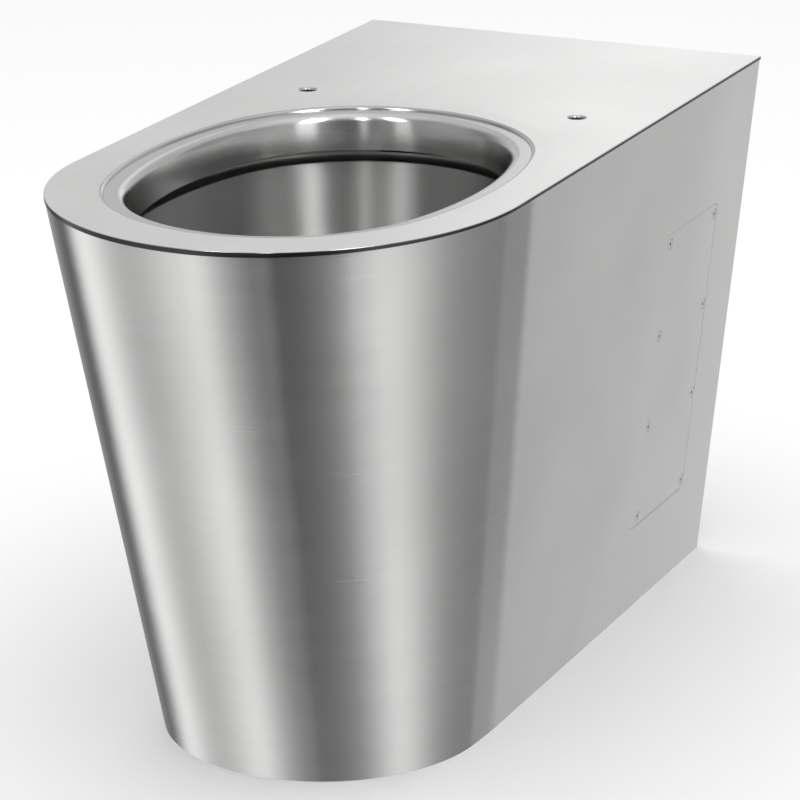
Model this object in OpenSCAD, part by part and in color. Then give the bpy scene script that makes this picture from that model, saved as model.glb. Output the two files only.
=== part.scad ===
// Floor-standing stainless steel toilet pan, back to wall, with an integral flushing rim.
// Millimetres. Z is up and the floor is z = 0. The wall is the plane y = overall_l / 2, and the
// nose points to -Y. The pan is symmetric about the plane x = 0.

/* [Body] */
// Length from the wall to the tip of the nose
overall_l = 700; // [640:5:760]
// Height from the floor to the top of the deck
overall_h = 445; // [420:5:500]
// Width of the deck, and so twice the radius of its nose
top_w = 360; // [350:2:400]
// Width of the body at the floor
base_w = 260; // [240:2:300]
// How far the nose of the deck stands out over the foot
nose_overhang = 105; // [60:5:120]
// Thickness of the body sheet
sheet_t = 1.5; // [1:0.5:2.5]
// Width of the edge that turns in at the back of the body
return_w = 25; // [18:1:35]

/* [Deck] */
// Thickness of the deck sheet
deck_t = 2; // [1.5:0.5:3]
// Flat width between the edge of the nose and the opening
deck_margin = 44; // [40:1:50]
// Distance between the centres of the opening's round ends
end_spacing = 112; // [100:2:124]
// How far the sides of the opening bow out past its round ends
side_bow = 8; // [6:0.5:10]
// Outer radius of the bend where the deck turns down into the opening
lip_bend_r = 3; // [2.5:0.5:4]
// Depth of the edge that turns down into the opening
lip_h = 5; // [4.5:0.5:7]
// Height of the edge that turns down at the wall
back_edge_h = 22; // [15:1:30]
// Distance between the two seat holes
seat_pitch = 237; // [220:1:250]
// Distance from the opening to the middle of the seat holes
seat_behind = 22; // [20:1:40]
// Diameter of a seat hole
seat_hole_d = 13; // [10:0.5:15]
// Width of the bevel pressed round a seat hole
seat_bevel = 1.5; // [1:0.5:1.5]
// Side of the square plate under a seat hole
seat_plate_w = 50; // [40:1:60]
// Thickness of the plate under a seat hole
seat_plate_t = 3; // [2:0.5:5]

/* [Flushing rim] */
// Depth of the ledge under the top of the deck
ledge_drop = 2.7; // [2:0.1:3.2]
// Flat width of the ledge
ledge_w = 8; // [6:1:11]
// Radius of the roll from the ledge down to the skirt
roll_r = 12; // [10:1:14]
// Straight height of the skirt under the roll
skirt_h = 16; // [13:0.5:18]
// Height of the flared hem under the skirt
hem_h = 11; // [9:0.5:13]
// How far that hem flares out
hem_out = 11; // [8:0.5:12]
// Height of the slot between the hem and the lip of the bowl
slot_h = 1.8; // [1.5:0.1:2.5]
// How far the lip of the bowl stands outside the hem
slot_out = 1; // [0.5:0.5:2]
// Gap between the turned-down deck edge and the wall of the water channel
channel_gap = 1.5; // [1:0.5:3]

/* [Bowl and trap] */
// Inner diameter of the trap
trap_d = 81; // [75:1:85]
// Radius of the trap's bends, to the middle of the tube
bend_r = 60; // [55:1:65]
// Height of the middle of the lower bend
trap_z = 115; // [112:1:120]
// Height of the middle of the outlet
outlet_z = 185; // [180:1:200]
// How far the bowl's throat lies in front of the middle of the pan
throat_out = 20; // [10:1:30]
// Straight length between the bowl and the lower bend
down_leg = 25; // [15:1:40]
// Outer diameter of the outlet spigot
spigot_d = 102; // [95:1:110]
// Length of the cone between the trap and the spigot
cone_l = 35; // [25:1:45]
// Straight length of the tube before the cone
neck_l = 30; // [15:1:40]
// How far the pipes end in front of the wall
pipe_setback = 5; // [5:1:20]

/* [Water inlet] */
// Diameter of the flush pipe that the inlet takes
flush_pipe_d = 55; // [40:1:60]
// Distance from the top of the deck down to the middle of the inlet
inlet_down = 95; // [85:1:105]
// Wall of the rubber sleeve in the inlet
sleeve_t = 3.5; // [2.5:0.5:5]
// Length of the rubber sleeve
sleeve_l = 35; // [20:1:50]
// Thickness of the collar on the sleeve
collar_t = 4; // [2:0.5:4]
// Width of the collar outside the sleeve
collar_w = 5; // [3:1:8]
// Width of the box that feeds the rim
manifold_w = 90; // [84:1:110]
// Depth of that box, behind the rim's channel
manifold_l = 55; // [40:1:70]
// Space between the inlet and the bottom of that box
manifold_drop = 12; // [6:1:20]

/* [Access panels] */
// Width of an access panel
panel_w = 118; // [110:1:130]
// Height of an access panel along the slope
panel_h = 257; // [250:1:280]
// Distance from the wall to the rear edge of a panel
panel_from_wall = 64; // [55:1:75]
// Distance along the slope from the floor to a panel
panel_up = 78.5; // [70:0.5:85]
// Radius of a panel's corners
panel_corner_r = 6; // [4:1:10]
// Seam round a panel
panel_seam = 0.4; // [0.2:0.1:0.8]
// Number of screws in a column
screw_rows = 4; // [3:1:5]
// Distance from the panel's ends to the nearest screws
screw_end_in = 8.5; // [7:0.5:20]
// Distance from the panel's rear edge to the rear screws
rear_screw_in = 5.5; // [5.5:0.5:8]
// Distance from the panel's front edge to the front screws
front_screw_in = 14; // [10:0.5:20]
// Diameter of a countersunk head
screw_head_d = 9; // [8:0.5:10]
// Diameter of a screw's shank
screw_d = 4; // [3:0.5:5]
// Length of a screw with its head
screw_l = 14; // [12:1:18]
// Size of the driver recess, across its corners
recess_d = 3.4; // [2.5:0.1:3.6]
// Width of the frame behind a panel
frame_w = 24; // [20:1:30]
// Lap of that frame outside the panel
frame_lap = 12; // [8:1:16]
// Thickness of that frame
frame_t = 2; // [1.5:0.5:4]
// Diameter of a threaded insert
insert_d = 8; // [7.5:0.5:10]
// Length of a threaded insert behind the frame
insert_l = 7; // [5:1:9]

/* [Floor fixings] */
// Width of the flat bar round the foot
foot_w = 45; // [40:1:55]
// Thickness of that bar
foot_t = 3; // [2:0.5:5]
// Length of a floor bracket
bracket_l = 110; // [100:1:130]
// Height of a bracket's upright leg
bracket_h = 40; // [30:1:50]
// Thickness of a bracket
bracket_t = 3; // [2:0.5:5]
// Distance from the wall to the middle of the brackets
bracket_from_wall = 123; // [110:1:135]
// Distance between the holes of one bracket
floor_hole_pitch = 70; // [60:1:80]
// Diameter of a floor hole
floor_hole_d = 11; // [8:0.5:13]
// Height of the upright leg of the rear brace
brace_h = 40; // [30:1:50]
// Depth of the flat leg of the rear brace
brace_l = 30; // [20:1:40]
// Thickness of the rear brace
brace_t = 3; // [2:0.5:4]
// Width of the saddle under the outlet
saddle_w = 70; // [60:1:80]
// Thickness of the saddle
saddle_t = 3; // [2:0.5:4]
// Depth of the saddle's foot
saddle_l = 30; // [20:1:40]

/* [Hidden] */
$fn = 96;
// Overrun of every cut
cut = 10;
// Gap left for a weld or a push fit
fit = 0.3;
// Gap between a screw and its hole
screw_gap = 0.2;
// Steps round the nose of the body, round the bowl and down the bowl
nose_steps = 48;
ring_steps = 72;
bowl_steps = 14;
// Curve of the bowl's wall: its share of the way in is (1 - depth ^ drop_share) ^ floor_share
drop_share = 2.2;
floor_share = 0.62;

wall_y = overall_l / 2;
nose_r = top_w / 2;
nose_y = nose_r - wall_y;
foot_r = base_w / 2;
foot_y = foot_r + nose_overhang - wall_y;
deck_under_z = overall_h - deck_t;
lean = atan((nose_r - foot_r) / deck_under_z);

opening_r = nose_r - deck_margin;
opening_front_y = nose_y;
opening_mid_y = nose_y + end_spacing / 2;
opening_rear_y = nose_y + end_spacing;
// The sides of the opening are arcs that meet its round ends without a kink: the centre of each
// lies bow_x across the middle plane, and its radius is more by bow_r than that of the ends
bow_x = (pow(end_spacing / 2, 2) - pow(side_bow, 2)) / (2 * side_bow);
bow_r = bow_x + side_bow;
bow_angle = atan(end_spacing / 2 / bow_x);
ledge_z = overall_h - ledge_drop;
roll_mid_r = opening_r - ledge_w;
roll_z = ledge_z - roll_r;
skirt_r = roll_mid_r - roll_r;
skirt_z = roll_z - skirt_h;
hem_r = skirt_r + hem_out;
hem_z = skirt_z - hem_h;
hem_flare = atan(hem_out / hem_h);
rim_z = hem_z - slot_h;
bowl_r = hem_r + slot_out;
channel_r = opening_r + deck_t + channel_gap;
channel_outer_r = channel_r + sheet_t;

throat_y = -throat_out;
trap_r = trap_d / 2;
tube_r = trap_r + sheet_t;
bowl_z = trap_z + down_leg + sheet_t + fit;
up_y = throat_y + 2 * bend_r;
elbow_z = outlet_z - bend_r;
elbow_y = up_y + bend_r;
spigot_r = spigot_d / 2;
pipe_end_y = wall_y - pipe_setback;

flush_r = flush_pipe_d / 2;
inlet_r = flush_r + sleeve_t;
inlet_outer_r = inlet_r + sheet_t;
inlet_z = overall_h - inlet_down;
manifold_front_y = opening_rear_y + sqrt(pow(channel_outer_r, 2) - pow(manifold_w / 2, 2));
manifold_rear_y = opening_rear_y + channel_outer_r + manifold_l;
manifold_z = inlet_z - inlet_outer_r - manifold_drop;

panel_y = wall_y - panel_from_wall - panel_w / 2;
panel_z = panel_up + panel_h / 2;
screw_head_h = (screw_head_d - screw_d) / 2;
screw_rear_y = panel_w / 2 - rear_screw_in;
screw_front_y = front_screw_in - panel_w / 2;
screw_low_z = screw_end_in - panel_h / 2;
screw_pitch = (panel_h - 2 * screw_end_in) / (screw_rows - 1);
bracket_y = wall_y - bracket_from_wall;
floor_hole_x = foot_r - sheet_t - fit - foot_w / 2;
brace_y = wall_y - sheet_t - fit - brace_t;
seat_y = opening_rear_y + opening_r + seat_behind;

// Half width and centre of the nose of the body at height z
function body_r(z) = foot_r + (nose_r - foot_r) * z / deck_under_z;
function body_y(z) = foot_y + (nose_y - foot_y) * z / deck_under_z;

// Outline of one half circle of radius r about [0, y], from +X over the side that dir names
function half_ring(r, y, dir, steps) =
    [for (i = [0 : steps]) [dir * r * cos(180 * i / steps), y + dir * r * sin(180 * i / steps)]];

// Section of the body sheet at height z: the outside from the back round the nose, then the inside
function body_section(z) = concat(
    [[body_r(z) - return_w, wall_y], [body_r(z), wall_y]],
    [for (p = half_ring(body_r(z), body_y(z), -1, nose_steps)) [-p[0], p[1]]],
    [[-body_r(z), wall_y], [return_w - body_r(z), wall_y]],
    [[return_w - body_r(z), wall_y - sheet_t], [sheet_t - body_r(z), wall_y - sheet_t]],
    [for (p = half_ring(body_r(z) - sheet_t, body_y(z), -1, nose_steps)) p],
    [[body_r(z) - sheet_t, wall_y - sheet_t], [body_r(z) - return_w, wall_y - sheet_t]]);

// Point of an oval about the opening, with ends of radius r, where its outline faces angle
function oval_point(r, angle) = abs(cos(angle)) > cos(bow_angle)
    ? [(r + bow_r) * cos(angle) - sign(cos(angle)) * bow_x, opening_mid_y + (r + bow_r) * sin(angle)]
    : [r * cos(angle), (sin(angle) > 0 ? opening_rear_y : opening_front_y) + r * sin(angle)];

// Share of the way out from the throat to the lip, at a share of the bowl's depth
function bowl_share(depth) = pow(1 - pow(depth, drop_share), floor_share);

// Ring of the bowl at a share of its depth, with its wall grown out by grow
function bowl_ring(depth, grow) = [
    for (i = [0 : ring_steps - 1])
        let (angle = 360 * i / ring_steps, out = [cos(angle), sin(angle)],
            throat = [0, throat_y] + trap_r * out,
            p = throat + (oval_point(bowl_r, angle) - throat) * bowl_share(depth) + grow * out)
        [p[0], p[1], rim_z - (rim_z - bowl_z) * depth - grow * depth]];

// Depths are closer together near the floor of the bowl, where its wall curves most
function bowl_depth(i) = sin(90 * i / bowl_steps);

// Faces of a closed skin through rings of count points, the last ring joined to the first
function skin_faces(rings, count) = [
    for (i = [0 : rings - 1], j = [0 : count - 1])
        let (a = i * count, b = ((i + 1) % rings) * count, k = (j + 1) % count)
        each [[a + j, b + j, b + k], [a + j, b + k, a + k]]];

// Faces between the outside and the inside of a section of count points that starts at point first
function strip_faces(count, first, upward) = [
    for (i = [0 : count / 2 - 2])
        let (a = first + i, b = a + 1, c = first + count - 2 - i, d = c + 1)
        each upward ? [[a, b, c], [a, c, d]] : [[a, c, b], [a, d, c]]];

// Faces between a section of count points and the section above it
function wall_faces(count) = [
    for (i = [0 : count - 1])
        let (k = (i + 1) % count)
        each [[i, k, count + k], [i, count + k, count + i]]];

// The same oval as an exact outline of four arcs
module oval(r) {
    meet_y = end_spacing / 2 * (1 + r / bow_r);
    translate([0, opening_front_y]) circle(r);
    translate([0, opening_rear_y]) circle(r);
    intersection() {
        translate([-bow_x, opening_mid_y]) circle(r + bow_r);
        translate([bow_x, opening_mid_y]) circle(r + bow_r);
        translate([-r - side_bow, opening_mid_y - meet_y]) square([2 * (r + side_bow), 2 * meet_y]);
    }
}

// Outline with a round nose of radius r about y_nose, straight back to y_back
module nose_outline(r, y_nose, y_back) {
    translate([0, y_nose]) circle(r);
    translate([-r, y_nose]) square([2 * r, y_back - y_nose]);
}

// Sweeps a profile round the oval of the opening; it is drawn in the radius of the ends and in height
module round_opening() {
    for (turn = [0, 180])
        translate([0, turn == 0 ? opening_rear_y : opening_front_y, 0])
            rotate([0, 0, turn + bow_angle])
                rotate_extrude(angle = 180 - 2 * bow_angle) children();
    for (side = [0, 1])
        mirror([side, 0, 0])
            translate([-bow_x, opening_mid_y, 0])
                rotate([0, 0, -bow_angle])
                    rotate_extrude(angle = 2 * bow_angle)
                        translate([bow_r, 0]) children();
}

// Quarter of a bent sheet about [x, z], bulging towards the axis and up
module bend_profile(x, z, outer_r, inner_r) {
    translate([x, z])
        intersection() {
            difference() {
                circle(outer_r);
                circle(inner_r);
            }
            translate([-outer_r, 0]) square([outer_r, outer_r]);
        }
}

// Puts what it holds on a side wall: local X runs to the wall, Y up the slope and Z out of the
// body, with the origin in the middle of the access panel's outer face
module on_side(side) {
    mirror([side, 0, 0])
        translate([foot_r, 0, 0])
            rotate([0, lean, 0])
                rotate([90, 0, 90])
                    translate([panel_y, panel_z, 0])
                        children();
}

module rounded_rect(w, h, r) {
    square([w - 2 * r, h], center = true);
    square([w, h - 2 * r], center = true);
    for (x = [-1, 1], y = [-1, 1])
        translate([x * (w / 2 - r), y * (h / 2 - r)]) circle(r);
}

// Repeats what it holds at each screw of a panel
module at_screws() {
    for (x = [screw_rear_y, screw_front_y], i = [0 : screw_rows - 1])
        translate([x, screw_low_z + i * screw_pitch, 0]) children();
}

// Tube along Z between z and z + length
module tube(outer_r, inner_r, z, length) {
    translate([0, 0, z])
        difference() {
            cylinder(h = length, r = outer_r);
            translate([0, 0, -cut]) cylinder(h = length + 2 * cut, r = inner_r);
        }
}

// Sweeps the trap's tube about [y, z] in the plane x = 0, from angle start on over sweep degrees
module trap_arc(y, z, start, sweep) {
    translate([0, y, z])
        rotate([90, 0, 90])
            rotate([0, 0, start])
                rotate_extrude(angle = sweep)
                    translate([bend_r, 0])
                        difference() {
                            circle(tube_r);
                            circle(trap_r);
                        }
}

// One folded sheet: two leaning sides, the conical nose and the edges turned in at the wall
module body_shell() {
    low = body_section(0);
    high = body_section(deck_under_z);
    count = len(low);
    color("silver")
        difference() {
            polyhedron(
                points = concat([for (p = low) [p[0], p[1], 0]],
                    [for (p = high) [p[0], p[1], deck_under_z]]),
                faces = concat(strip_faces(count, 0, false), strip_faces(count, count, true),
                    wall_faces(count)));
            for (side = [0, 1])
                on_side(side)
                    translate([0, 0, -cut])
                        linear_extrude(2 * cut)
                            rounded_rect(panel_w + 2 * panel_seam, panel_h + 2 * panel_seam,
                                panel_corner_r + panel_seam);
        }
}

// Deck with its turned-down edges and the two seat holes
module deck_plate() {
    back_edge_x = body_r(overall_h - back_edge_h) - return_w - fit;
    color("gainsboro")
        difference() {
            union() {
                translate([0, 0, deck_under_z])
                    linear_extrude(deck_t)
                        difference() {
                            nose_outline(nose_r, nose_y, wall_y);
                            oval(opening_r + lip_bend_r);
                        }
                round_opening() {
                    bend_profile(opening_r + lip_bend_r, overall_h - lip_bend_r, lip_bend_r,
                        lip_bend_r - deck_t);
                    translate([opening_r, overall_h - lip_h]) square([deck_t, lip_h - lip_bend_r]);
                }
                translate([-back_edge_x, wall_y - sheet_t, overall_h - back_edge_h])
                    cube([2 * back_edge_x, sheet_t, back_edge_h - deck_t]);
            }
            for (x = [-1, 1])
                translate([x * seat_pitch / 2, seat_y, 0]) {
                    translate([0, 0, deck_under_z - cut])
                        cylinder(h = deck_t + 2 * cut, d = seat_hole_d, $fn = 48);
                    translate([0, 0, overall_h - seat_bevel])
                        cylinder(h = seat_bevel, r1 = seat_hole_d / 2, r2 = seat_hole_d / 2 + seat_bevel,
                            $fn = 48);
                }
        }
}

// Pressed ring: the ledge in the deck's opening, the roll, the skirt and the flared hem
module flushing_rim() {
    color("whitesmoke")
        round_opening() {
            translate([roll_mid_r, ledge_z - sheet_t]) square([ledge_w, sheet_t]);
            bend_profile(roll_mid_r, roll_z, roll_r, roll_r - sheet_t);
            polygon([[skirt_r, roll_z], [skirt_r, skirt_z], [hem_r, hem_z],
                [hem_r + sheet_t * cos(hem_flare), hem_z + sheet_t * sin(hem_flare)],
                [skirt_r + sheet_t, skirt_z + sheet_t * tan(hem_flare / 2)],
                [skirt_r + sheet_t, roll_z]]);
        }
}

// Strip round the outside of the rim's water channel, with its window to the manifold
module rim_channel() {
    window_w = manifold_w - 4 * sheet_t;
    color("darkgray")
        difference() {
            round_opening()
                translate([channel_r, rim_z - sheet_t])
                    square([sheet_t, deck_under_z - rim_z + sheet_t]);
            translate([-window_w / 2, opening_rear_y, rim_z + sheet_t])
                cube([window_w, channel_outer_r + cut, deck_under_z - rim_z - 4 * sheet_t]);
        }
}

// Flat ring that closes the water channel from below, between the bowl's lip and that strip
module rim_floor() {
    inner_r = bowl_r + sheet_t + fit;
    color("darkgray")
        round_opening()
            translate([inner_r, rim_z - sheet_t])
                square([channel_r - fit - inner_r, sheet_t]);
}

// Drawn bowl, from its oval lip down to the round throat
module bowl() {
    rings = concat([for (i = [0 : bowl_steps]) bowl_ring(bowl_depth(i), 0)],
        [for (i = [bowl_steps : -1 : 0]) bowl_ring(bowl_depth(i), sheet_t)]);
    color("lightgray")
        polyhedron(points = [for (ring = rings) each ring],
            faces = skin_faces(len(rings), len(rings[0])));
}

// Box behind the rim that takes the flush from the inlet up into the channel
module flush_manifold() {
    top_z = deck_under_z - fit;
    color("darkgray")
        difference() {
            translate([-manifold_w / 2, manifold_front_y, manifold_z])
                cube([manifold_w, manifold_rear_y - manifold_front_y, top_z - manifold_z]);
            translate([sheet_t - manifold_w / 2, manifold_front_y + sheet_t, manifold_z + sheet_t])
                cube([manifold_w - 2 * sheet_t, manifold_rear_y - manifold_front_y - 2 * sheet_t,
                    top_z - manifold_z - 2 * sheet_t]);
            translate([0, opening_rear_y, rim_z - sheet_t - fit])
                cylinder(h = top_z - rim_z + cut, r = channel_outer_r + fit);
            translate([0, manifold_rear_y - sheet_t - cut, inlet_z])
                rotate([-90, 0, 0])
                    cylinder(h = sheet_t + 2 * cut, r = inlet_outer_r + fit);
        }
}

module inlet_pipe() {
    color("silver")
        translate([0, 0, inlet_z])
            rotate([-90, 0, 0])
                tube(inlet_outer_r, inlet_r, manifold_rear_y - sheet_t,
                    pipe_end_y - manifold_rear_y + sheet_t);
}

// Rubber sleeve with a collar, pushed into the end of the inlet
module inlet_sleeve() {
    color("dimgray")
        translate([0, 0, inlet_z])
            rotate([-90, 0, 0])
                difference() {
                    union() {
                        translate([0, 0, pipe_end_y - sleeve_l])
                            cylinder(h = sleeve_l, r = inlet_r - screw_gap);
                        translate([0, 0, pipe_end_y])
                            cylinder(h = collar_t, r = inlet_r + collar_w);
                    }
                    translate([0, 0, pipe_end_y - sleeve_l - cut])
                        cylinder(h = sleeve_l + collar_t + 2 * cut, r = flush_r);
                }
}

// Straight leg of the trap, from the bowl down to the lower bend
module trap_leg() {
    color("silver") translate([0, throat_y, 0]) tube(tube_r, trap_r, trap_z, down_leg);
}

// Lower bend and riser of the trap, which hold the water seal
module trap_bend() {
    color("darkgray") {
        trap_arc(throat_y + bend_r, trap_z, 180, 180);
        translate([0, up_y, 0]) tube(tube_r, trap_r, trap_z, elbow_z - trap_z);
    }
}

module outlet_elbow() {
    color("silver") trap_arc(elbow_y, elbow_z, 90, 90);
}

// Neck, cone and spigot of the outlet, turned in one piece
module outlet_spigot() {
    cone_y = elbow_y + neck_l;
    spigot_y = cone_y + cone_l;
    color("lightgray")
        translate([0, 0, outlet_z])
            rotate([-90, 0, 0])
                rotate_extrude()
                    polygon([[trap_r, elbow_y], [tube_r, elbow_y], [tube_r, cone_y],
                        [spigot_r, spigot_y], [spigot_r, pipe_end_y], [spigot_r - sheet_t, pipe_end_y],
                        [spigot_r - sheet_t, spigot_y], [trap_r, cone_y]]);
}

// Flat bar welded inside the foot of the body, with the floor holes
module foot_flange() {
    inset = sheet_t + fit;
    color("darkgray")
        difference() {
            linear_extrude(foot_t)
                difference() {
                    nose_outline(foot_r - inset, foot_y, wall_y - inset);
                    nose_outline(foot_r - inset - foot_w, foot_y, wall_y + cut);
                }
            floor_holes(foot_t);
        }
}

// Four holes through what lies below height z
module floor_holes(z) {
    for (x = [-1, 1], y = [-1, 1])
        translate([x * floor_hole_x, bracket_y + y * floor_hole_pitch / 2, -cut])
            cylinder(h = z + 2 * cut, d = floor_hole_d, $fn = 48);
}

// Angle bracket: a flat leg on the foot flange and a leaning leg on the side wall
module floor_bracket(side) {
    color("silver")
        difference() {
            union() {
                mirror([side, 0, 0])
                    translate([foot_r - sheet_t - fit - foot_w, bracket_y - bracket_l / 2, foot_t])
                        cube([foot_w, bracket_l, bracket_t]);
                mirror([side, 0, 0])
                    translate([foot_r, bracket_y - bracket_l / 2, 0])
                        rotate([0, lean, 0])
                            translate([-sheet_t - fit - bracket_t, 0, foot_t + fit])
                                cube([bracket_t, bracket_l, bracket_h]);
            }
            floor_holes(foot_t + bracket_t);
        }
}

// Angle across the back, between the two sides
module rear_brace() {
    inset = sheet_t + fit;
    color("darkgray") {
        translate([0, brace_y + brace_t, 0])
            rotate([90, 0, 0])
                linear_extrude(brace_t)
                    polygon([
                        for (x = [-1, 1], z = [foot_t, foot_t + brace_h])
                            [x * (body_r(x < 0 ? z : 2 * foot_t + brace_h - z) - inset),
                                x < 0 ? z : 2 * foot_t + brace_h - z]]);
        translate([inset - foot_r, brace_y + brace_t - brace_l, foot_t])
            cube([2 * (foot_r - inset), brace_l - brace_t, brace_t]);
    }
}

// Folded plate that cradles the neck of the outlet; its foot fits between the legs of the flange
module outlet_saddle() {
    tongue_x = foot_r - sheet_t - foot_w - 2 * fit;
    color("silver")
        difference() {
            union() {
                translate([-saddle_w / 2, elbow_y + fit, 0])
                    cube([saddle_w, saddle_t, outlet_z - tube_r / 2]);
                translate([-tongue_x, elbow_y + fit + saddle_t - saddle_l, 0])
                    cube([2 * tongue_x, saddle_l, saddle_t]);
            }
            translate([0, elbow_y - cut, outlet_z])
                rotate([-90, 0, 0])
                    cylinder(h = saddle_t + 2 * cut, r = tube_r + fit);
        }
}

// Flush cover in the side wall, countersunk for its screws
module access_panel(side) {
    color("lightgray")
        on_side(side)
            difference() {
                translate([0, 0, -sheet_t])
                    linear_extrude(sheet_t) rounded_rect(panel_w, panel_h, panel_corner_r);
                at_screws() screw_body(screw_gap, cut);
            }
}

// Frame behind the side wall that the panel lies on
module panel_frame(side) {
    outer_w = panel_w + 2 * frame_lap;
    outer_h = panel_h + 2 * frame_lap;
    color("darkgray")
        on_side(side)
            difference() {
                translate([0, 0, -sheet_t - fit - frame_t])
                    linear_extrude(frame_t)
                        difference() {
                            rounded_rect(outer_w, outer_h, panel_corner_r + frame_lap);
                            rounded_rect(outer_w - 2 * frame_w, outer_h - 2 * frame_w, panel_corner_r);
                        }
                at_screws() screw_body(screw_gap, cut);
            }
}

// Countersunk screw with its head flush at z = 0, grown by gap and carried on by extra
module screw_body(gap, extra) {
    translate([0, 0, -screw_head_h])
        cylinder(h = screw_head_h, r1 = screw_d / 2 + gap, r2 = screw_head_d / 2 + gap, $fn = 32);
    translate([0, 0, -screw_l - extra])
        cylinder(h = screw_l + extra - screw_head_h, r = screw_d / 2 + gap, $fn = 32);
}

module panel_screws(side) {
    recess_h = screw_head_h / 2;
    color("gray")
        on_side(side)
            at_screws()
                difference() {
                    screw_body(0, 0);
                    translate([0, 0, -recess_h]) cylinder(h = recess_h + cut, d = recess_d, $fn = 6);
                }
}

// Threaded inserts behind the frame, one for each screw
module threaded_inserts(side) {
    color("dimgray")
        on_side(side)
            at_screws()
                tube(insert_d / 2, screw_d / 2 + screw_gap,
                    -sheet_t - fit - frame_t - insert_l, insert_l);
}

// Plate that stiffens the deck under a seat hole
module seat_plate(side) {
    color("darkgray")
        mirror([side, 0, 0])
            translate([seat_pitch / 2, seat_y, deck_under_z - seat_plate_t])
                difference() {
                    translate([-seat_plate_w / 2, -seat_plate_w / 2, 0])
                        cube([seat_plate_w, seat_plate_w, seat_plate_t]);
                    translate([0, 0, -cut])
                        cylinder(h = seat_plate_t + 2 * cut, d = seat_hole_d, $fn = 48);
                }
}

body_shell();
deck_plate();
flushing_rim();
rim_channel();
rim_floor();
bowl();
flush_manifold();
inlet_pipe();
inlet_sleeve();
trap_leg();
trap_bend();
outlet_elbow();
outlet_spigot();
foot_flange();
rear_brace();
outlet_saddle();
floor_bracket(0);  // floor_bracket_right
floor_bracket(1);  // floor_bracket_left
access_panel(0);  // access_panel_right
access_panel(1);  // access_panel_left
panel_frame(0);  // panel_frame_right
panel_frame(1);  // panel_frame_left
panel_screws(0);  // panel_screws_right
panel_screws(1);  // panel_screws_left
threaded_inserts(0);  // threaded_inserts_right
threaded_inserts(1);  // threaded_inserts_left
seat_plate(0);  // seat_plate_right
seat_plate(1);  // seat_plate_left
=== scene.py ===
"""Floor-standing stainless steel toilet pan: satin brushed body and deck, polished flushing rim,
bowl, side access panels, and the pipework that shows from behind."""
import math

import bmesh
import bpy
import numpy as np
from mathutils import Matrix
from mathutils.geometry import delaunay_2d_cdt


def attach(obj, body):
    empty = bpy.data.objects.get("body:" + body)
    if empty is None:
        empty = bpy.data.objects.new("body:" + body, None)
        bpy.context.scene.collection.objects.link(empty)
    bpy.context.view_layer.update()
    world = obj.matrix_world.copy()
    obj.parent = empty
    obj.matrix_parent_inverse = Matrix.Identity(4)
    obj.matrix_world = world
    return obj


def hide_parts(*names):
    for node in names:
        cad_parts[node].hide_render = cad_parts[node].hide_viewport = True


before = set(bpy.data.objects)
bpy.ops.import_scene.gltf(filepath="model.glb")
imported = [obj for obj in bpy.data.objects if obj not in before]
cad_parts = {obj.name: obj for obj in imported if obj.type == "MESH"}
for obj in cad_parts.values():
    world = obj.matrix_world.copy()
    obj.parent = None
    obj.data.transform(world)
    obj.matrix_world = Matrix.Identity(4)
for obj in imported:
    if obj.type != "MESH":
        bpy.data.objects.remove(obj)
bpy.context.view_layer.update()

# Body. One sheet of 1.5 mm stainless steel, folded and rolled: two flat sides that lean out to the
# top, a conical nose between them, a little fuller on the left, and edges folded in at the wall.
# Each side has an opening for its panel. Belt-brushed to a satin grain that runs round the pan.
MM = 0.001
SHEET = 1.5
WALL_Y = 350.0
DECK_UNDER = 443.0
FOOT_R, TOP_R = 130.0, 180.0
# The nose on the right (1) and the left (-1): half width and depth of its ellipse, the Y of its
# middle, and the Y of the soft crease where the flat side ends.
FOOT_NOSE = {1: (128.6, 128.6, -117.4, -94.0), -1: (130.0, 129.8, -116.2, -118.0)}
TOP_NOSE = {1: (177.8, 198.2, -150.0, -128.0), -1: (180.0, 178.2, -170.0, -172.0)}
NOSE_START = 0.07
CREASE_W = 7.0
RETURN_W, FOLD_R = 25.0, 3.0
NOSE_STEPS, BODY_ROWS, FOLD_STEPS = 192, 12, 6
LEAN = math.atan((TOP_R - FOOT_R) / DECK_UNDER)
PANEL_W, PANEL_H, PANEL_CORNER, PANEL_SEAM = 118.0, 257.0, 6.0, 0.28
PANEL_MIDDLE = np.array([227.0, 207.0])


def linear(code):
    """sRGB hex to linear RGB: each channel over 12.92 where dark, else by the power 2.4."""
    c = np.array([int(code[k:k + 2], 16) for k in (1, 3, 5)]) / 255
    return tuple(np.where(c <= 0.04045, c / 12.92, ((c + 0.055) / 1.055) ** 2.4))


def add_node(tree, kind, settings=None, links=None):
    """Adds a node, sets its properties and sockets by name or number, and links its inputs."""
    n = tree.nodes.new(kind)
    for key, value in (settings or {}).items():
        if isinstance(key, int) or key in n.inputs:
            n.inputs[key].default_value = value
        else:
            setattr(n, key, value)
    for key, source in (links or {}).items():
        tree.links.new(source, n.inputs[key])
    return n


def grid_patch(points, uv, slot=0):
    """Quads between neighbours on a grid of points, rows by columns, each point with its place in
    the sheet's own UV. A patch is points, faces, UV and the number of its material."""
    rows, cols = points.shape[:2]
    i = np.arange(rows * cols).reshape(rows, cols)
    quads = np.stack([i[:-1, :-1], i[:-1, 1:], i[1:, 1:], i[1:, :-1]], -1).reshape(-1, 4)
    return points.reshape(-1, 3), quads, uv.reshape(-1, 2), slot


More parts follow.
